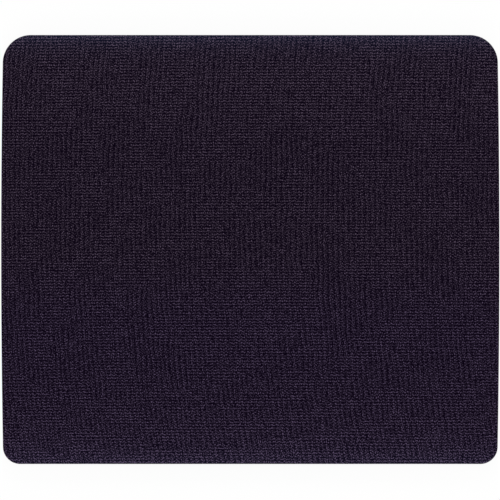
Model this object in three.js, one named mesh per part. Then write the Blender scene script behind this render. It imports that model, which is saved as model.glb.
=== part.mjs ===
// Cloth-faced sponge mouse pad.
// Three layers lie on each other: a sponge rubber base, a film of laminating glue and a knitted cloth face.
// The stack is cut out in one stroke by a steel-rule die pressed down from the cloth side. That leaves
// the marks this model follows: the blade draws the rim down and pinches the cloth, and the sponge,
// squeezed while it is cut, springs back with a hollow cut face and with sides that bow out a little.
// Millimetres, +Z up. +X runs along the pad's width and +Y away from the user.
// The origin is under the middle of the pad, on the desk.

import * as THREE from 'three';

// Outline, seen from above
const PAD_WIDTH = 235.8; // across the middle, where the sides bow out most
const PAD_DEPTH = 203;
const BACK_CORNER_RADIUS = 13;
const FRONT_CORNER_RADIUS = 8;
const SIDE_BOW = 1; // how far each short side stands out at the middle of its length
const LEAST_CORNER_RADIUS = 0.5; // for lines drawn well inside the outline

// Layers, from the desk up
const SPONGE_THICKNESS = 5.2;
const FILM_THICKNESS = 0.1;
const CLOTH_THICKNESS = 0.7;

// What the die leaves along the edge
const ROLL_WIDTH = 6; // the rim that the blade draws down
const ROLL_DROP = 0.7; // how far the layers come down at the cut
const CLOTH_PINCH = 0.2; // how much thinner the cloth is at the cut
const CUT_HOLLOW = 0.55; // how far the sponge's cut face curves in at half its height

// Facets
const CORNER_STEPS = 8;
const SIDE_STEPS = 10;
const ROLL_STEPS = 5;
const CUT_STEPS = 8;

// The corners, anticlockwise from the front right, with the way that each one's centre lies.
const QUARTER_TURN = Math.PI / 2;
const CORNERS = [
  { sideX: 1, sideY: -1, radius: FRONT_CORNER_RADIUS, start: -QUARTER_TURN },
  { sideX: 1, sideY: 1, radius: BACK_CORNER_RADIUS, start: 0 },
  { sideX: -1, sideY: 1, radius: BACK_CORNER_RADIUS, start: QUARTER_TURN },
  { sideX: -1, sideY: -1, radius: FRONT_CORNER_RADIUS, start: 2 * QUARTER_TURN },
];

// The arc of one corner of a line drawn inset from the outline, before the sides bow.
function cornerArc(corner, inset) {
  const radius = Math.max(corner.radius - inset, LEAST_CORNER_RADIUS);
  const centreX = corner.sideX * (PAD_WIDTH / 2 - SIDE_BOW - inset - radius);
  const centreY = corner.sideY * (PAD_DEPTH / 2 - inset - radius);
  const arc = [];
  for (let step = 0; step <= CORNER_STEPS; step += 1) {
    const angle = corner.start + (QUARTER_TURN * step) / CORNER_STEPS;
    arc.push(new THREE.Vector2(centreX + radius * Math.cos(angle), centreY + radius * Math.sin(angle)));
  }
  return arc;
}

// Points between two ends, without the ends. A short side needs them to carry its bow.
function pointsBetween(from, to) {
  const points = [];
  for (let step = 1; step < SIDE_STEPS; step += 1) {
    points.push(from.clone().lerp(to, step / SIDE_STEPS));
  }
  return points;
}

// The pad's outline, or a line drawn inset from it, anticlockwise from the front right corner.
function outlineRing(inset) {
  const [frontRight, backRight, backLeft, frontLeft] = CORNERS.map((corner) => cornerArc(corner, inset));
  const ring = [
    ...frontRight,
    ...pointsBetween(frontRight.at(-1), backRight[0]),
    ...backRight,
    ...backLeft,
    ...pointsBetween(backLeft.at(-1), frontLeft[0]),
    ...frontLeft,
  ];
  for (const point of ring) {
    const along = point.y / (PAD_DEPTH / 2);
    point.x += Math.sign(point.x) * SIDE_BOW * (1 - along * along);
  }
  return ring;
}

// How much of the die's full effect reaches a point this far in from the cut: 1 at the cut, 0 past the rim.
function dieEffect(inset) {
  const share = 1 - inset / ROLL_WIDTH;
  return share * share;
}

// The stations of a face that is flat in the middle and drawn down along its rim, from the flat to the cut.
function rolledFace(height, drop) {
  const stations = [];
  for (let step = 0; step <= ROLL_STEPS; step += 1) {
    const inset = ROLL_WIDTH * (1 - step / ROLL_STEPS);
    stations.push({ inset, height: height - drop * dieEffect(inset) });
  }
  return stations;
}

// The stations of the sponge's hollow cut face, from the desk up to just under its upper edge.
function cutFace(height) {
  const stations = [];
  for (let step = 0; step < CUT_STEPS; step += 1) {
    const share = step / CUT_STEPS;
    stations.push({ inset: CUT_HOLLOW * Math.sin(Math.PI * share), height: height * share });
  }
  return stations;
}

// A closed layer through rings at the given stations, from the middle of its underside, out, up and in again.
// Each band's diagonals run from its inner ring, so that two layers that share a face share its facets too.
function loftedLayer(stations) {
  const rings = stations.map((station) => outlineRing(station.inset));
  const count = rings[0].length;
  const positions = rings.flatMap((ring, r) => ring.flatMap((point) => [point.x, point.y, stations[r].height]));
  const indices = [];
  for (let r = 0; r + 1 < rings.length; r += 1) {
    const inward = stations[r + 1].inset > stations[r].inset;
    for (let i = 0; i < count; i += 1) {
      const next = (i + 1) % count;
      const [a, b] = [r * count + i, r * count + next];
      const [c, d] = [(r + 1) * count + next, (r + 1) * count + i];
      indices.push(...(inward ? [a, b, d, b, c, d] : [a, b, c, a, c, d]));
    }
  }
  const top = (rings.length - 1) * count;
  for (const [a, b, c] of THREE.ShapeUtils.triangulateShape(rings[0], [])) {
    indices.push(a, c, b);
  }
  for (const [a, b, c] of THREE.ShapeUtils.triangulateShape(rings.at(-1), [])) {
    indices.push(top + a, top + b, top + c);
  }
  const geometry = new THREE.BufferGeometry();
  geometry.setAttribute('position', new THREE.Float32BufferAttribute(positions, 3));
  geometry.setIndex(indices);
  geometry.computeVertexNormals();
  return geometry;
}

function layer(name, stations, finish) {
  const mesh = new THREE.Mesh(loftedLayer(stations), new THREE.MeshStandardMaterial(finish));
  mesh.name = name;
  return mesh;
}

// The sponge stands flat on the desk, and its upper face is drawn down to the cut.
function spongeBase() {
  const stations = [...cutFace(SPONGE_THICKNESS - ROLL_DROP), ...rolledFace(SPONGE_THICKNESS, ROLL_DROP).reverse()];
  return layer('sponge_base', stations, { color: 0x1d1c1f, roughness: 0.95, metalness: 0 });
}

// The glue follows the sponge's upper face at an even thickness.
function adhesiveFilm() {
  const filmTop = SPONGE_THICKNESS + FILM_THICKNESS;
  const stations = [...rolledFace(SPONGE_THICKNESS, ROLL_DROP), ...rolledFace(filmTop, ROLL_DROP).reverse()];
  return layer('adhesive_film', stations, { color: 0x4b4742, roughness: 0.45, metalness: 0 });
}

// The cloth lies on the glue, and the blade pinches it thinner at the cut.
function jerseyCloth() {
  const filmTop = SPONGE_THICKNESS + FILM_THICKNESS;
  const clothTop = filmTop + CLOTH_THICKNESS;
  const upperFace = rolledFace(clothTop, ROLL_DROP + CLOTH_PINCH).reverse();
  const stations = [...rolledFace(filmTop, ROLL_DROP), ...upperFace];
  return layer('jersey_cloth', stations, { color: 0x231c2a, roughness: 0.92, metalness: 0 });
}

const mousePad = new THREE.Group();
mousePad.add(spongeBase(), adhesiveFilm(), jerseyCloth());

export default mousePad;
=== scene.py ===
"""The looks of a cloth-faced mouse pad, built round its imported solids.

Each layer is modelled in millimetres and set down in the solids' own place: a knitted face with its
stitches in relief, a line of glue, and a sponge base with open pores on its cut and a waffle underneath.
"""
import math

import bmesh
import bpy
import numpy as np
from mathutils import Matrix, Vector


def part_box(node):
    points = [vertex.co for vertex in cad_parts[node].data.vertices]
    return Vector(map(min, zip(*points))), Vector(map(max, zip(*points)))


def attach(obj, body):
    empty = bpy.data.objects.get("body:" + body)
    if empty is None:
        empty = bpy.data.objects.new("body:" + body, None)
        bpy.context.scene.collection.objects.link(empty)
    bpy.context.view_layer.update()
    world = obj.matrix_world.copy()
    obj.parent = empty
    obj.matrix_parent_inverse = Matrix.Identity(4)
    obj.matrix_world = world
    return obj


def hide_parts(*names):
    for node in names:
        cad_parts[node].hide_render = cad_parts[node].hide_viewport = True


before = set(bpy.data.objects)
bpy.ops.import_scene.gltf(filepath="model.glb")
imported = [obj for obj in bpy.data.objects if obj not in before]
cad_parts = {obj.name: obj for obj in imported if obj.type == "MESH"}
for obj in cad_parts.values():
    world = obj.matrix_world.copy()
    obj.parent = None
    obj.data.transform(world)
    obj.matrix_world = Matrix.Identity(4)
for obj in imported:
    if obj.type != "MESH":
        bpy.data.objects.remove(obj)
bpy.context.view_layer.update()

MM = 0.001  # a millimetre in the scene's metres
TURN = 2 * math.pi
TINY = 1e-9


def box_in_mm(node):
    """A solid's lowest and highest corners, in millimetres."""
    return [np.array(corner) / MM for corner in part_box(node)]


# The layers' heights and the outline's reach, from the solids
cloth_low, cloth_high = box_in_mm("jersey_cloth")
film_low, film_high = box_in_mm("adhesive_film")
sponge_low, sponge_high = box_in_mm("sponge_base")
HALF_WIDTH = cloth_high[0]
HALF_DEPTH = cloth_high[1]
DESK = sponge_low[2]
SPONGE_TOP = sponge_high[2]
FILM_TOP = film_high[2]
CLOTH_TOP = cloth_high[2]
SPONGE_CUT_TOP = film_low[2]  # the sponge's upper edge, where the die drew it down
FILM_CUT_TOP = cloth_low[2]
ROLL_DROP = FILM_TOP - FILM_CUT_TOP

# The outline and the die's marks, as on the solids
BACK_CORNER_RADIUS = 13.0
FRONT_CORNER_RADIUS = 8.0
SIDE_BOW = 1.0
ROLL_WIDTH = 6.0
CLOTH_PINCH = 0.2
CUT_HOLLOW = 0.55

# The knit, as the photo shows it
WALE_PITCH = 2.431  # between columns of stitches
COURSE_PITCH = 1.419  # between rows
WALE_SHIFT = 0.55  # by how many columns or rows the knit is shifted at the pad's middle
COURSE_SHIFT = 0.11
SECOND_SHIFT = 0.65  # the same for a second set of rows

# How the knit lies bowed and skewed: by how many columns or rows it is out of true at the edges,
# as amounts of the first and higher powers of a place across the width or along the depth, from -1 to 1
WALE_BY_WIDTH = (0.4, -2.9, 1.3, 1.2)
WALE_BY_DEPTH = (0.4, -2.1, 1.1, -0.7)
WALE_TWIST = (0.4, 0.0, -0.4)  # by width, growing along the depth
COURSE_BY_WIDTH = (0.1, -1.4, 0.2, 0.7)
COURSE_BY_DEPTH = (-0.9, -0.8, 1.3)
COURSE_TWIST = (0.7, -0.3, -0.8)

# Smooth unevenness: a seed, the shortest and the longest waves, and the strength
WAVE_COUNT = 24
WALE_WAVER = (22, 8.0, 40.0, 0.08)
COURSE_WAVER = (21, 6.0, 40.0, 0.05)
COURSE_WAVER_STRETCH = 2.0  # along the rows
GLUE_WAVER = (31, 2.0, 12.0, 0.02)

# The stitches' relief. Heights in it run from 0 in a hole to 1 on top of a thread
STITCH_RELIEF = 0.3
STITCH_PRESS = 0.6  # the share that the die presses out at the cut
OPEN_MIDDLE = 0.5  # in a column, where the holes are open
OPEN_SWING = 0.5
CLOSED_MIDDLE = 0.65  # between the columns, where they close up
CLOSED_SWING = -0.02

# Painted light on the cloth: it is lighter towards its back and front edges, where the rolled rim catches
# the light.
# The painted highlight and the painted bluish sheen have their strength at the edge and the width over which
# they fade. The broader painted highlight has its strength and where it starts and is full
BACK_RIM_HIGHLIGHT = (0.8, 4.3)
FRONT_RIM_HIGHLIGHT = (0.85, 7.0)
BACK_RIM_SHEEN = (1.0, 4.0)
FRONT_RIM_SHEEN = (0.3, 6.0)
BACK_BROAD_HIGHLIGHT = (0.18, 55.0, 22.0)
FRONT_BROAD_HIGHLIGHT = (0.09, 45.0, 15.0)

# The glue and the sponge
GLUE_SET_BACK = 0.04  # how far in from the cut the glue's edge is on average
PORE_SEED = 41
PORE_COUNT = 9000
PORE_RADIUS = (0.18, 0.5)  # least and most
PORE_DEPTH = (0.12, 0.42)
PORE_MARGIN = 0.1  # from a pore's middle to the upper or lower edge of the cut
WAFFLE_STEP = 1.25  # half the pitch of the waffle
WAFFLE_DEPTH = 0.45
WAFFLE_MARGIN = 0.4  # the plain strip round the waffle's grid
WAFFLE_RIM = 1.5  # no pits this near the cut

# How fine the meshes are
COLUMNS_PER_WALE = 3
ROWS_PER_COURSE = 2
SPARE_STITCHES = 2  # past the outline on each side, to be cut off
RING_POINTS = 360  # round the faces that the layers hide from each other
ROLL_STEPS = 5  # across the rim of those faces
GLUE_POINTS = 900  # along the glue's edge
WALL_COLUMNS = 3200  # along the sponge's cut
WALL_ROWS = 18  # up it
KNIT_ROOM = 0.25  # a grid's points that are nearer to the cut than this move onto it
WAFFLE_ROOM = 0.3
SHARP_FROM = 70  # edges that turn by more degrees than this are sharp
SPONGE_SHARP_FROM = 50

# How closely points are worked out
DIRECTION_STEP = 0.01
OUTLINE_STEPS = 16384
OUTLINE_HALVINGS = 40
LATTICE_PASSES = 12
CUT_PASSES = 4

# The cloth's colours. A bright thread has the tone BRIGHT_LEVEL
CLOTH_DARK = (0.0022, 0.0004, 0.0048, 1)
CLOTH_BRIGHT_FRONT = (0.1000, 0.0710, 0.1330, 1)
CLOTH_BRIGHT_BACK = (0.1000, 0.0725, 0.1150, 1)
# The colour of the painted bluish sheen by the back and front edges
CLOTH_RIM_SHEEN = (0.0010, 0.0060, 0.0150, 1)
TINT_CHANGE = (-0.4, 0.05)  # where the front's tint gives way to the back's, from -1 to 1 along the depth
BRIGHT_LEVEL = 2.2
TONE_POWER = 2.0
TONE_LEVEL = 0.144
CLOTH_BUMP = (0.25, 0.12)  # strength and depth

# The sets of lines that make up the knit: how they run with the column, the row and the second row,
# their shift, and their strengths at the front and the back of the pad, where the cloth's middle tone is 1
# Their darks in the holes are partly painted shade, and their lights on the threads partly painted highlight
KNIT_LINES = (
    ((0, 1, 0), 0.0, 0.46, 0.46),  # rows
    ((0, 0, 1), 0.0, 0.42, 0.42),  # second rows
    ((1, -1, 0), 0.28, 0.36, 0.36),  # the stitches' right legs
    ((1, 0, 1), -0.23, 0.45, 0.28),  # their left legs
    ((1, 0, 0), 0.0, 0.37, 0.37),  # columns
    ((1, -1, 1), -0.41, 0.12, 0.12),  # fainter lines, where those sets cross
    ((2, -1, 1), -0.13, 0.18, 0.18),
    ((1, 1, 0), -0.38, 0.13, 0.13),
)

# The yarn's grain
FUZZ_CELL = 1.35
FUZZ_WAVES = 1.54  # to a cell
FUZZ_STRENGTH = 7.9
BIT_LENGTH = 0.42
BIT_WIDTH = 0.36
BIT_STRENGTH = 2.0

# The glue's and the sponge's colours. Cells and clouds are counted to a metre
GLUE_DARK = (0.030, 0.027, 0.024, 1)
GLUE_PALE = (0.085, 0.078, 0.068, 1)
GLUE_CLOUDS = 700.0
GLUE_BUMP = (0.3, 0.05)
SPONGE_DARK = (0.0030, 0.0029, 0.0036, 1)
SPONGE_PALE = (0.0240, 0.0233, 0.0260, 1)
SPONGE_CELLS = 3800.0
SPONGE_CLOUDS = 140.0
SPONGE_BUMP = (0.5, 0.12)
CELL_WALL_FROM = 0.55  # from a cell's middle, in cells
CELL_TONE = 0.35  # how light a cell's middle is, where its wall is 1
CLOUD_RANGE = (0.3, 0.7)  # values of the noise, and the tones that they are given
CLOUD_TONES = (0.7, 1.15)
# Painted shade in the pores of the sponge's cut, darker the deeper a pore is
PORE_DARK_FROM = 0.21  # a pore this deep is as dark as any
PORE_DARKNESS = 0.85
CLOUD_DETAIL = 3.0

# The floor and the light, in metres and watts
WHITE = (1, 1, 1, 1)
FLOOR_COLOUR = (0.95, 0.95, 0.95, 1)
FLOOR_REACH = 6.0
FLOOR_GAP = 0.05 * MM  # under the pad, to keep their faces apart
FLOOR_FADE = (1.0, 2.2)  # where the floor turns white, in half widths and half depths of the pad
FLOOR_WHITE = 0.9  # how white it already is beside the pad
AMBIENT = 0.5
SOFTBOXES = {  # place, width, length and power
    "overhead": ((0.2, 0.1, 1.7), 1.6, 1.6, 9.0),
    "back_strip": ((0.1, 1.5, 0.75), 2.0, 0.5, 12.0),
    "front_strip": ((-0.1, -1.5, 0.75), 2.0, 0.5, 9.0),
}

# The camera, which looks straight down as the photo does
PHOTO_SIDE = 500  # pixels
PHOTO_CENTRE_X = 250.3  # where the middle of the pad lies in the photo
PHOTO_CENTRE_Y = 249.5
MM_PER_PIXEL = 0.4729
CAMERA_HEIGHT = 1.3  # metres over the cloth
CAMERA_REACH = 20.0  # metres
SENSOR_WIDTH = 36.0


# The outline

def inset_from_cut(x, y):
    """How far points lie in from the pad's cut edge. It is negative outside."""
    bowed = np.abs(x) - SIDE_BOW * (1 - (y / HALF_DEPTH) ** 2)
    radius = np.where(y > 0, BACK_CORNER_RADIUS, FRONT_CORNER_RADIUS)
    past_x = bowed - (HALF_WIDTH - SIDE_BOW - radius)
    past_y = np.abs(y) - (HALF_DEPTH - radius)
    from_centre = np.hypot(np.maximum(past_x, 0), np.maximum(past_y, 0))
    return radius - from_centre - np.minimum(np.maximum(past_x, past_y), 0)


def inward(x, y):
    """The direction in from the nearest stretch of the cut edge."""
    across = inset_from_cut(x + DIRECTION_STEP, y) - inset_from_cut(x - DIRECTION_STEP, y)
    along = inset_from_cut(x, y + DIRECTION_STEP) - inset_from_cut(x, y - DIRECTION_STEP)
    size = np.maximum(np.hypot(across, along), TINY)
    return across / size, along / size


def outline(count):
    """Points at even steps along the cut edge, anticlockwise from the middle of the right side."""
    turn = np.linspace(0, TURN, OUTLINE_STEPS + 1)
    near = np.zeros_like(turn)
    far = np.full_like(turn, HALF_WIDTH + HALF_DEPTH)
    for _ in range(OUTLINE_HALVINGS):
        middle = (near + far) / 2
        inside = inset_from_cut(middle * np.cos(turn), middle * np.sin(turn)) > 0
        near = np.where(inside, middle, near)
        far = np.where(inside, far, middle)
    x = near * np.cos(turn)
    y = near * np.sin(turn)
    along = np.concatenate([[0], np.cumsum(np.hypot(np.diff(x), np.diff(y)))])
    even = np.linspace(0, along[-1], count, endpoint=False)
    return np.interp(even, along, x), np.interp(even, along, y)


def ring_at(edge, inset, height):
    """A ring of points in from the cut edge's points, at one height."""
    x, y = edge
    in_x, in_y = inward(x, y)
    return np.column_stack([x + in_x * inset, y + in_y * inset, np.full(len(x), height)])


def die_effect(inset):
    """How much of the die's full effect reaches points this far in: 1 at the cut, 0 past the rim."""
    return np.clip(1 - inset / ROLL_WIDTH, 0, 1) ** 2


def wander(x, y, seed, shortest, longest, strength):
    """A smooth unevenness over the pad: waves of many lengths and directions."""
    draw = np.random.default_rng(seed)
    total = np.zeros_like(x)
    for _ in range(WAVE_COUNT):
        length = shortest * (longest / shortest) ** draw.random()
        direction = draw.uniform(0, TURN)
        phase = draw.uniform(0, TURN)
        across = x * math.cos(direction) + y * math.sin(direction)
        total += np.sin(TURN * across / length + phase)
    return total * strength * math.sqrt(2 / WAVE_COUNT)


# Meshes

class Shape:
    """Points and faces of one closed piece, in millimetres."""

    def __init__(self):
        self.points = []
        self.faces = []
        self.count = 0

    def add(self, points):
        """Adds points and returns their numbers."""
        numbers = np.arange(self.count, self.count + len(points))
        self.points.append(np.asarray(points, float))
        self.count += len(points)
        return numbers

    def band(self, lower, upper):
        """Joins two rings of as many points."""
        quads = np.column_stack([lower, np.roll(lower, -1), np.roll(upper, -1), upper])
        self.faces.extend(quads.tolist())

    def lace(self, ring, other):
        """Joins two rings of different counts with triangles, stepping along both round the middle."""
        placed = np.concatenate(self.points)
        rings = []
        steps = []
        for side, numbers in enumerate((ring, other)):
            turns = np.arctan2(placed[numbers, 1], placed[numbers, 0]) % TURN
            rings.append(numbers[np.argsort(turns)])
            steps += [(turn, side) for turn in (*np.sort(turns)[1:], np.inf)]
        at = [0, 0]
        for _, side in sorted(steps):
            here, there = [numbers[step % len(numbers)] for numbers, step in zip(rings, at)]
            at[side] += 1
            ahead = rings[side][at[side] % len(rings[side])]
            self.faces.append([here, ahead, there])

    def cap(self, ring):
        """Closes the piece with one face."""
        self.faces.append(ring.tolist())

    def make(self, name, material, sharp_from=SHARP_FROM):
        """The piece as an object, with its faces turned outwards."""
        mesh = bpy.data.meshes.new(name)
        mesh.from_pydata(np.concatenate(self.points) * MM, [], [list(map(int, face)) for face in self.faces])
        work = bmesh.new()
        work.from_mesh(mesh)
        bmesh.ops.recalc_face_normals(work, faces=work.faces)
        work.to_mesh(mesh)
        work.free()
        mesh.polygons.foreach_set("use_smooth", np.ones(len(mesh.polygons), bool))
        mesh.set_sharp_from_angle(angle=math.radians(sharp_from))
        mesh.materials.append(material)
        piece = bpy.data.objects.new(name, mesh)
        bpy.context.collection.objects.link(piece)
        return piece


def fitted_grid(shape, x, y, room, height, margin=0.0):
    """Adds a grid of points cut to the pad's outline, and returns the numbers of the points on the cut.

    Points less than room from the cut, or outside, move onto it. height(x, y) gives the points' heights.
    With a margin, the grid is cut along a line that far inside the outline."""
    inside = inset_from_cut(x, y) > margin + room
    some_inside = inside[:-1, :-1] | inside[1:, :-1] | inside[:-1, 1:] | inside[1:, 1:]
    used = np.zeros_like(inside)
    for rows in (slice(None, -1), slice(1, None)):
        for columns in (slice(None, -1), slice(1, None)):
            used[rows, columns] |= some_inside
    moved = used & ~inside
    for _ in range(CUT_PASSES):
        in_x, in_y = inward(x[moved], y[moved])
        short = inset_from_cut(x[moved], y[moved]) - margin
        x[moved] -= in_x * short
        y[moved] -= in_y * short
    numbers = np.full(x.shape, -1)
    numbers[used] = shape.add(np.column_stack([x[used], y[used], height(x, y)[used]]))
    corners = [numbers[:-1, :-1], numbers[:-1, 1:], numbers[1:, 1:], numbers[1:, :-1]]
    shape.faces.extend(np.stack([corner[some_inside] for corner in corners], axis=1).tolist())
    turn = np.arctan2(y[moved], x[moved]) % TURN
    return numbers[moved][np.argsort(turn)]


def rolled_face(shape, cut_ring, height, cut_height):
    """Closes a layer, from a ring at the cut over the drawn-down rim to the flat middle of the face."""
    edge = outline(RING_POINTS)
    outer = cut_ring
    for step in range(1, ROLL_STEPS + 1):
        inset = ROLL_WIDTH * step / ROLL_STEPS
        level = height - (height - cut_height) * die_effect(inset)
        inner = shape.add(ring_at(edge, inset, level))
        if len(outer) == len(inner):
            shape.band(outer, inner)
        else:
            shape.lace(outer, inner)
        outer = inner
    shape.cap(outer)


def write_vectors(mesh, name, x, y, z):
    """Gives each point of a mesh a named vector, for a material to read."""
    attribute = mesh.attributes.new(name, "FLOAT_VECTOR", "POINT")
    attribute.data.foreach_set("vector", np.column_stack([x, y, z]).astype(np.float32).ravel())


# The knitted face

def curve(place, amounts):
    """A smooth curve, from amounts of the first and higher powers of a place."""
    return sum(amount * place ** power for power, amount in enumerate(amounts, 1))


def bend(x, y, by_width, by_depth, twist):
    """How far the knit lies out of true."""
    across, along = x / HALF_WIDTH, y / HALF_DEPTH
    return curve(across, by_width) + curve(along, by_depth) + along * curve(across, twist)


def wale_at(x, y):
    """Which column of stitches points lie in, counted along the width."""
    lie = bend(x, y, WALE_BY_WIDTH, WALE_BY_DEPTH, WALE_TWIST)
    return x / WALE_PITCH + WALE_SHIFT + lie + wander(x, y, *WALE_WAVER)


def course_drift(x, y):
    """How far the rows of stitches are from an even spacing. They waver more slowly along the rows."""
    lie = bend(x, y, COURSE_BY_WIDTH, COURSE_BY_DEPTH, COURSE_TWIST)
    return COURSE_SHIFT + lie + wander(x / COURSE_WAVER_STRETCH, y, *COURSE_WAVER)


def course_at(x, y):
    """Which row of stitches points lie in, counted towards the back."""
    return y / COURSE_PITCH + course_drift(x, y)


def second_course_at(x, y):
    """A second set of rows, which drifts twice as far the other way. Rows show most where the sets agree."""
    return y / COURSE_PITCH - 2 * course_drift(x, y) + SECOND_SHIFT


def stitch_height(wale, course):
    """How high points lie in the stitches' relief."""
    openness = (1 + np.cos(TURN * wale)) / 2
    middle = CLOSED_MIDDLE + (OPEN_MIDDLE - CLOSED_MIDDLE) * openness
    swing = CLOSED_SWING + (OPEN_SWING - CLOSED_SWING) * openness
    return middle + swing * np.cos(TURN * course)


def knit_lattice():
    """Grid points that follow the stitches, on top of the threads and at the bottom of the holes."""
    edge = outline(RING_POINTS)
    wales = math.ceil(np.abs(wale_at(*edge)).max()) + SPARE_STITCHES
    courses = math.ceil(np.abs(course_at(*edge)).max()) + SPARE_STITCHES
    columns = np.arange(-wales * COLUMNS_PER_WALE, wales * COLUMNS_PER_WALE + 1)
    rows = np.arange(-courses * ROWS_PER_COURSE, courses * ROWS_PER_COURSE + 1)
    wale, course = np.meshgrid(columns / COLUMNS_PER_WALE, rows / ROWS_PER_COURSE)
    x = wale * WALE_PITCH
    y = course * COURSE_PITCH
    for _ in range(LATTICE_PASSES):
        off_wale = wale - wale_at(x, y)
        off_course = course - course_at(x, y)
        x = x + off_wale * WALE_PITCH
        y = y + off_course * COURSE_PITCH
    return x, y


def cloth_height(x, y):
    """The height of the cloth's face, with its stitches flattened towards the cut."""
    pressed = die_effect(inset_from_cut(x, y))
    relief = STITCH_RELIEF * (1 - STITCH_PRESS * pressed)
    top = CLOTH_TOP - (ROLL_DROP + CLOTH_PINCH) * pressed
    return top - relief * (1 - stitch_height(wale_at(x, y), course_at(x, y)))


def fading(from_edge, strength, width):
    """Painted light that is strongest at an edge and dies away inwards."""
    return strength * np.exp(-from_edge / width)


def rising(from_edge, strength, start, full):
    """Painted light that sets in at one distance from an edge and is full at another."""
    share = np.clip((start - from_edge) / (start - full), 0, 1)
    return strength * share * share * (3 - 2 * share)


def write_knit(piece):
    """Writes each point's place in the knit and the painted light on the cloth there, by its back and front
    edges.
    """
    mesh = piece.data
    place = np.empty(len(mesh.vertices) * 3)
    mesh.vertices.foreach_get("co", place)
    x, y, _ = place.reshape(-1, 3).T / MM
    from_back = HALF_DEPTH - y
    from_front = HALF_DEPTH + y
    # Painted highlight and painted bluish sheen, where the rolled rim by the back and front edges catches
    # the light
    rim_highlight = fading(from_back, *BACK_RIM_HIGHLIGHT) + rising(from_back, *BACK_BROAD_HIGHLIGHT)
    rim_highlight = rim_highlight + fading(from_front, *FRONT_RIM_HIGHLIGHT) + rising(from_front, *FRONT_BROAD_HIGHLIGHT)
    rim_sheen = fading(from_back, *BACK_RIM_SHEEN) + fading(from_front, *FRONT_RIM_SHEEN)
    write_vectors(mesh, "stitch", wale_at(x, y), course_at(x, y), second_course_at(x, y))
    write_vectors(mesh, "painted_rim_light", rim_highlight, rim_sheen, np.zeros_like(x))


def knit_face(material):
    """The cloth, with its stitches on top and a plain face underneath."""
    shape = Shape()
    x, y = knit_lattice()
    upper_edge = fitted_grid(shape, x, y, KNIT_ROOM, cloth_height)
    foot = np.concatenate(shape.points)[upper_edge]
    foot[:, 2] = FILM_CUT_TOP
    lower_edge = shape.add(foot)
    shape.band(lower_edge, upper_edge)
    rolled_face(shape, lower_edge, FILM_TOP, FILM_CUT_TOP)
    piece = shape.make("knit_face", material)
    write_knit(piece)
    return piece


# The line of glue

def glue_line(material):
    """A film that follows the sponge's top, with an edge that isn't quite even."""
    shape = Shape()
    edge = outline(GLUE_POINTS)
    uneven = np.maximum(0, GLUE_SET_BACK + wander(*edge, *GLUE_WAVER))
    lower = shape.add(ring_at(edge, uneven, SPONGE_CUT_TOP))
    upper = shape.add(ring_at(edge, uneven, FILM_CUT_TOP))
    shape.band(lower, upper)
    rolled_face(shape, lower, SPONGE_TOP, SPONGE_CUT_TOP)
    rolled_face(shape, upper, FILM_TOP, FILM_CUT_TOP)
    return shape.make("glue_line", material)


# The sponge base

def pore_depths(perimeter, height):
    """How deep the open pores are over the cut face, for rows up it and columns along it."""
    draw = np.random.default_rng(PORE_SEED)
    depth = np.zeros((WALL_ROWS + 1, WALL_COLUMNS))
    step_along = perimeter / WALL_COLUMNS
    step_up = height / WALL_ROWS
    rows_up = np.arange(WALL_ROWS + 1) * step_up
    for _ in range(PORE_COUNT):
        along = draw.uniform(0, perimeter)
        up = draw.uniform(PORE_MARGIN, height - PORE_MARGIN)
        radius = draw.uniform(*PORE_RADIUS)
        deepest = draw.uniform(*PORE_DEPTH)
        first = math.floor((along - radius) / step_along)
        last = math.ceil((along + radius) / step_along)
        columns = np.arange(first, last + 1)
        away = np.hypot((columns * step_along - along)[None, :], (rows_up - up)[:, None]) / radius
        pit = deepest * np.clip(1 - away ** 2, 0, 1)
        columns = columns % WALL_COLUMNS
        depth[:, columns] = np.maximum(depth[:, columns], pit)
    depth[0] = 0
    depth[-1] = 0
    return depth


def waffle(shape, cut_ring):
    """The sponge's underside: flat ridges with a small pit in each square between them."""
    across = math.ceil(HALF_WIDTH / WAFFLE_STEP) + 1
    along = math.ceil(HALF_DEPTH / WAFFLE_STEP) + 1
    columns = np.arange(-across, across + 1)
    rows = np.arange(-along, along + 1)
    x, y = np.meshgrid(columns * WAFFLE_STEP, rows * WAFFLE_STEP)
    pit = (np.abs(columns) % 2 == 1)[None, :] & (np.abs(rows) % 2 == 1)[:, None]

    def height(x, y):
        return DESK + np.where(pit & (inset_from_cut(x, y) > WAFFLE_RIM), WAFFLE_DEPTH, 0.0)

    shape.lace(cut_ring, fitted_grid(shape, x, y, WAFFLE_ROOM, height, WAFFLE_MARGIN))


def sponge_pad(material):
    """The sponge, with pores on its hollow cut, a smooth top and a waffle underneath."""
    shape = Shape()
    x, y = outline(WALL_COLUMNS)
    perimeter = np.hypot(x - np.roll(x, 1), y - np.roll(y, 1)).sum()
    height = SPONGE_CUT_TOP - DESK
    pores = pore_depths(perimeter, height)
    rings = []
    for row in range(WALL_ROWS + 1):
        share = row / WALL_ROWS
        inset = CUT_HOLLOW * math.sin(math.pi * share) + pores[row]
        rings.append(shape.add(ring_at((x, y), inset, DESK + height * share)))
    for lower, upper in zip(rings, rings[1:]):
        shape.band(lower, upper)
    rolled_face(shape, rings[-1], SPONGE_TOP, SPONGE_CUT_TOP)
    waffle(shape, rings[0])
    piece = shape.make("sponge_pad", material, SPONGE_SHARP_FROM)
    depth = np.zeros(shape.count)
    depth[:pores.size] = pores.ravel()
    write_vectors(piece.data, "pore", depth, np.zeros_like(depth), np.zeros_like(depth))
    return piece


# Materials

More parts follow.
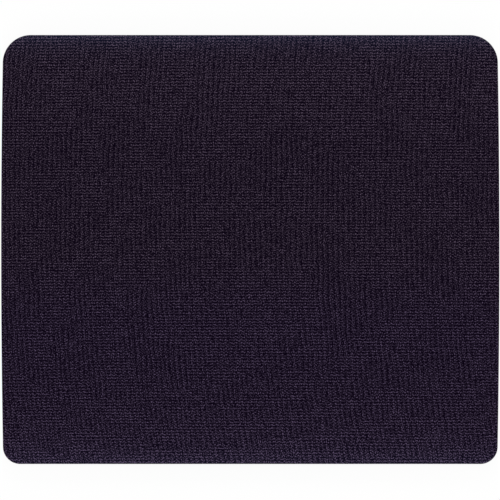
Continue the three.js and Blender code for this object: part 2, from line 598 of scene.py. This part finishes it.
class Nodes:
    """A node tree, with short ways to add to it."""

    def __init__(self, tree):
        self.tree = tree

    def add(self, kind, inputs=None, **settings):
        """Adds a node with its settings and what goes into its inputs."""
        node = self.tree.nodes.new(kind)
        for name, value in settings.items():
            setattr(node, name, value)
        for name, value in (inputs or {}).items():
            self.feed(node.inputs[name], value)
        return node

    def feed(self, socket, value):
        """Links a node's output to a socket, or sets the socket to a plain value."""
        if isinstance(value, bpy.types.NodeSocket):
            self.tree.links.new(value, socket)
        else:
            socket.default_value = value

    def calculate(self, operation, *values):
        """One step of arithmetic."""
        node = self.add("ShaderNodeMath", operation=operation)
        for socket, value in zip(node.inputs, values):
            self.feed(socket, value)
        return node.outputs[0]

    def remap(self, value, low, high, to_low=0.0, to_high=1.0, kind="SMOOTHSTEP"):
        """Takes a range of values to another."""
        inputs = {"Value": value, "From Min": low, "From Max": high, "To Min": to_low, "To Max": to_high}
        return self.add("ShaderNodeMapRange", inputs, interpolation_type=kind).outputs[0]

    def blend(self, factor, first, second, kind="MIX"):
        """Mixes two colours. The node has sockets for each kind of value, and these are the colours' own."""
        node = self.add("ShaderNodeMix", data_type="RGBA", blend_type=kind)
        self.feed(node.inputs[0], factor)
        self.feed(node.inputs[6], first)
        self.feed(node.inputs[7], second)
        return node.outputs[2]

    def seen(self):
        """1 for rays that show a background: straight from the camera, or by way of gloss or glass."""
        path = self.add("ShaderNodeLightPath").outputs
        either = self.calculate("MAXIMUM", path["Is Camera Ray"], path["Is Glossy Ray"])
        return self.calculate("MAXIMUM", either, path["Is Transmission Ray"])


class Material(Nodes):
    """A material's node tree, which leads to one shader."""

    def __init__(self, name):
        self.material = bpy.data.materials.new(name)
        self.material.use_nodes = True
        super().__init__(self.material.node_tree)
        self.shader = self.tree.nodes["Principled BSDF"]

    def place(self):
        """Where on the piece a point is, in metres."""
        return self.add("ShaderNodeTexCoord").outputs["Object"]

    def written(self, name):
        """A vector that the mesh's points carry."""
        return self.add("ShaderNodeAttribute", attribute_name=name).outputs["Vector"]

    def parts(self, vector):
        """A vector's three numbers."""
        return self.add("ShaderNodeSeparateXYZ", {"Vector": vector}).outputs

    def clouds(self, place, scale):
        """Soft patches, lighter and darker by chance."""
        inputs = {"Vector": place, "Scale": scale, "Detail": CLOUD_DETAIL}
        return self.add("ShaderNodeTexNoise", inputs).outputs[0]

    def bump(self, height, strength, depth):
        """Normals that follow a fine relief. Its depth is in millimetres."""
        inputs = {"Height": height, "Strength": strength, "Distance": depth * MM}
        return self.add("ShaderNodeBump", inputs).outputs[0]

    def finish(self, **inputs):
        """Sets the shader's inputs, named with underscores for spaces, and returns the material."""
        for name, value in inputs.items():
            self.feed(self.shader.inputs[name.replace("_", " ")], value)
        return self.material


def knit_pattern(nodes, along):
    """How much lighter or darker than the cloth's middle tone each place in the knit is.

    The holes' dark is partly painted shade, and the threads' light partly painted highlight.
    """
    stitch = nodes.written("stitch")
    total = 0.0
    for run, shift, front, back in KNIT_LINES:
        inputs = {0: stitch, 1: run}
        count = nodes.add("ShaderNodeVectorMath", inputs, operation="DOT_PRODUCT").outputs["Value"]
        turn = nodes.calculate("MULTIPLY", nodes.calculate("ADD", count, shift), TURN)
        strength = nodes.remap(along, -1.0, 1.0, front, back, "LINEAR")
        total = nodes.calculate("MULTIPLY_ADD", nodes.calculate("COSINE", turn), strength, total)
    return total


def fuzz(nodes, place):
    """Loose fibres that lie every way, as light as they are dark."""
    inputs = {"Vector": place, "Scale": 1 / (FUZZ_CELL * MM), "Frequency": FUZZ_WAVES, "Anisotropy": 0.0}
    strands = nodes.add("ShaderNodeTexGabor", inputs, gabor_type="2D").outputs["Value"]
    return nodes.calculate("MULTIPLY", nodes.calculate("SUBTRACT", strands, 0.5), FUZZ_STRENGTH)


def yarn_bits(nodes, place):
    """Short bits of yarn, each lighter or darker by chance."""
    size = (BIT_LENGTH * MM, BIT_WIDTH * MM, BIT_WIDTH * MM)
    lain = nodes.add("ShaderNodeMapping", {"Vector": place, "Scale": size}, vector_type="TEXTURE").outputs[0]
    bits = nodes.add("ShaderNodeTexVoronoi", {"Vector": lain, "Scale": 1.0}, voronoi_dimensions="2D")
    chance = nodes.add("ShaderNodeSeparateColor", {"Color": bits.outputs["Color"]}).outputs[0]
    return nodes.calculate("MULTIPLY", nodes.calculate("SUBTRACT", chance, 0.5), BIT_STRENGTH)


def cloth_material():
    """Knitted yarn, fuzzy all over: light on the threads, dark in the holes, partly by painted highlight and
    shade.
    """
    nodes = Material("knit_cloth")
    place = nodes.place()
    along = nodes.calculate("DIVIDE", nodes.parts(place)["Y"], HALF_DEPTH * MM)
    grain = nodes.calculate("ADD", fuzz(nodes, place), yarn_bits(nodes, place))
    tone = nodes.calculate("ADD", nodes.calculate("ADD", 1.0, knit_pattern(nodes, along)), grain)
    tone = nodes.calculate("MAXIMUM", tone, 0.0)
    # Painted highlight and painted bluish sheen by the back and front edges
    rim_highlight, rim_sheen, _ = nodes.parts(nodes.written("painted_rim_light"))
    level = nodes.calculate("MULTIPLY", nodes.calculate("POWER", tone, TONE_POWER), TONE_LEVEL)
    level = nodes.calculate("MULTIPLY", level, nodes.calculate("ADD", 1.0, rim_highlight))
    bright = nodes.blend(nodes.remap(along, *TINT_CHANGE), CLOTH_BRIGHT_FRONT, CLOTH_BRIGHT_BACK)
    colour = nodes.blend(nodes.calculate("DIVIDE", level, BRIGHT_LEVEL), CLOTH_DARK, bright)
    colour = nodes.blend(rim_sheen, colour, CLOTH_RIM_SHEEN, "ADD")
    return nodes.finish(Base_Color=colour, Roughness=0.95, Specular_IOR_Level=0.0,
                        Sheen_Weight=0.015, Sheen_Roughness=0.5, Normal=nodes.bump(tone, *CLOTH_BUMP))


def glue_material():
    """Dried glue: dull amber grey, a little glossy."""
    nodes = Material("dried_glue")
    cloud = nodes.clouds(nodes.place(), GLUE_CLOUDS)
    colour = nodes.blend(cloud, GLUE_DARK, GLUE_PALE)
    return nodes.finish(Base_Color=colour, Roughness=0.45, Specular_IOR_Level=0.4,
                        Normal=nodes.bump(cloud, *GLUE_BUMP))


def sponge_material():
    """Black sponge rubber: fine cells, with painted shade down in the pores of the cut."""
    nodes = Material("sponge_rubber")
    place = nodes.place()
    inputs = {"Vector": place, "Scale": SPONGE_CELLS}
    cells = nodes.add("ShaderNodeTexVoronoi", inputs, voronoi_dimensions="3D")
    cell_wall = nodes.remap(cells.outputs["Distance"], 0.0, CELL_WALL_FROM)
    cell_tone = nodes.calculate("MULTIPLY_ADD", cell_wall, 1 - CELL_TONE, CELL_TONE)
    cloud_tone = nodes.remap(nodes.clouds(place, SPONGE_CLOUDS), *CLOUD_RANGE, *CLOUD_TONES, "LINEAR")
    colour = nodes.blend(nodes.calculate("MULTIPLY", cell_tone, cloud_tone), SPONGE_DARK, SPONGE_PALE)
    # Painted shade, deeper down in the pores
    pore, _, _ = nodes.parts(nodes.written("pore"))
    shade = nodes.remap(pore, 0.0, PORE_DARK_FROM, 0.0, PORE_DARKNESS)
    colour = nodes.blend(shade, colour, SPONGE_DARK)
    return nodes.finish(Base_Color=colour, Roughness=0.95, Specular_IOR_Level=0.25,
                        Normal=nodes.bump(cell_wall, *SPONGE_BUMP))


# The set

def floor_material():
    """A plain white table, which keeps a part of the pad's soft shadow."""
    nodes = Material("pale_floor")
    nodes.finish(Base_Color=FLOOR_COLOUR, Roughness=0.9, Specular_IOR_Level=0.0)
    reach = (HALF_WIDTH * MM, HALF_DEPTH * MM, 1)
    shares = nodes.add("ShaderNodeVectorMath", {0: nodes.place(), 1: reach}, operation="DIVIDE").outputs[0]
    away = nodes.add("ShaderNodeVectorMath", {0: shares}, operation="LENGTH").outputs["Value"]
    whiteness = nodes.calculate("MULTIPLY", nodes.seen(), nodes.remap(away, *FLOOR_FADE, FLOOR_WHITE, 1.0))
    glow = nodes.add("ShaderNodeEmission", {"Color": WHITE, "Strength": 1.0})
    inputs = {0: whiteness, 1: nodes.shader.outputs[0], 2: glow.outputs[0]}
    mixed = nodes.add("ShaderNodeMixShader", inputs)
    nodes.feed(nodes.tree.nodes["Material Output"].inputs["Surface"], mixed.outputs[0])
    return nodes.material


def floor():
    """A plane under the pad."""
    mesh = bpy.data.meshes.new("floor")
    sides = ((-1, -1), (1, -1), (1, 1), (-1, 1))
    mesh.from_pydata([(x * FLOOR_REACH, y * FLOOR_REACH, 0) for x, y in sides], [], [(0, 1, 2, 3)])
    mesh.materials.append(floor_material())
    plane = bpy.data.objects.new("floor", mesh)
    plane.location.z = DESK * MM - FLOOR_GAP
    bpy.context.collection.objects.link(plane)


def sky():
    """Even light from all round, and white where the camera sees past the floor."""
    world = bpy.data.worlds.new("studio")
    world.use_nodes = True
    bpy.context.scene.world = world
    nodes = Nodes(world.node_tree)
    background = nodes.tree.nodes["Background"]
    nodes.feed(background.inputs["Color"], WHITE)
    nodes.feed(background.inputs["Strength"], nodes.remap(nodes.seen(), 0.0, 1.0, AMBIENT, 1.0, "LINEAR"))


def softbox(name, place, width, length, power):
    """A soft light that points at the pad's middle and isn't seen itself."""
    light = bpy.data.lights.new(name, "AREA")
    light.shape = "RECTANGLE"
    light.size = width
    light.size_y = length
    light.energy = power
    lamp = bpy.data.objects.new(name, light)
    lamp.location = place
    yaw = math.atan2(-place[1], -place[0])
    pitch = math.atan2(math.hypot(place[0], place[1]), place[2])
    lamp.rotation_euler = (pitch, 0, yaw - TURN / 4)
    lamp.visible_camera = False
    bpy.context.collection.objects.link(lamp)


def camera():
    """Straight down, framed as the photo is."""
    data = bpy.data.cameras.new("camera")
    data.sensor_width = SENSOR_WIDTH
    data.lens = SENSOR_WIDTH * CAMERA_HEIGHT / (PHOTO_SIDE * MM_PER_PIXEL * MM)
    data.clip_end = CAMERA_REACH
    holder = bpy.data.objects.new("camera", data)
    off_x = (PHOTO_SIDE / 2 - PHOTO_CENTRE_X) * MM_PER_PIXEL * MM
    off_y = (PHOTO_CENTRE_Y - PHOTO_SIDE / 2) * MM_PER_PIXEL * MM
    holder.location = (off_x, off_y, CLOTH_TOP * MM + CAMERA_HEIGHT)
    bpy.context.collection.objects.link(holder)
    bpy.context.scene.camera = holder


camera()
floor()
sky()
for light_name, setting in SOFTBOXES.items():
    softbox(light_name, *setting)

cloth = knit_face(cloth_material())
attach(cloth, "root")
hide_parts("jersey_cloth")

glue = glue_line(glue_material())
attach(glue, "root")
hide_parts("adhesive_film")

sponge = sponge_pad(sponge_material())
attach(sponge, "root")
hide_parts("sponge_base")

bpy.context.scene.view_settings.view_transform = "Standard"
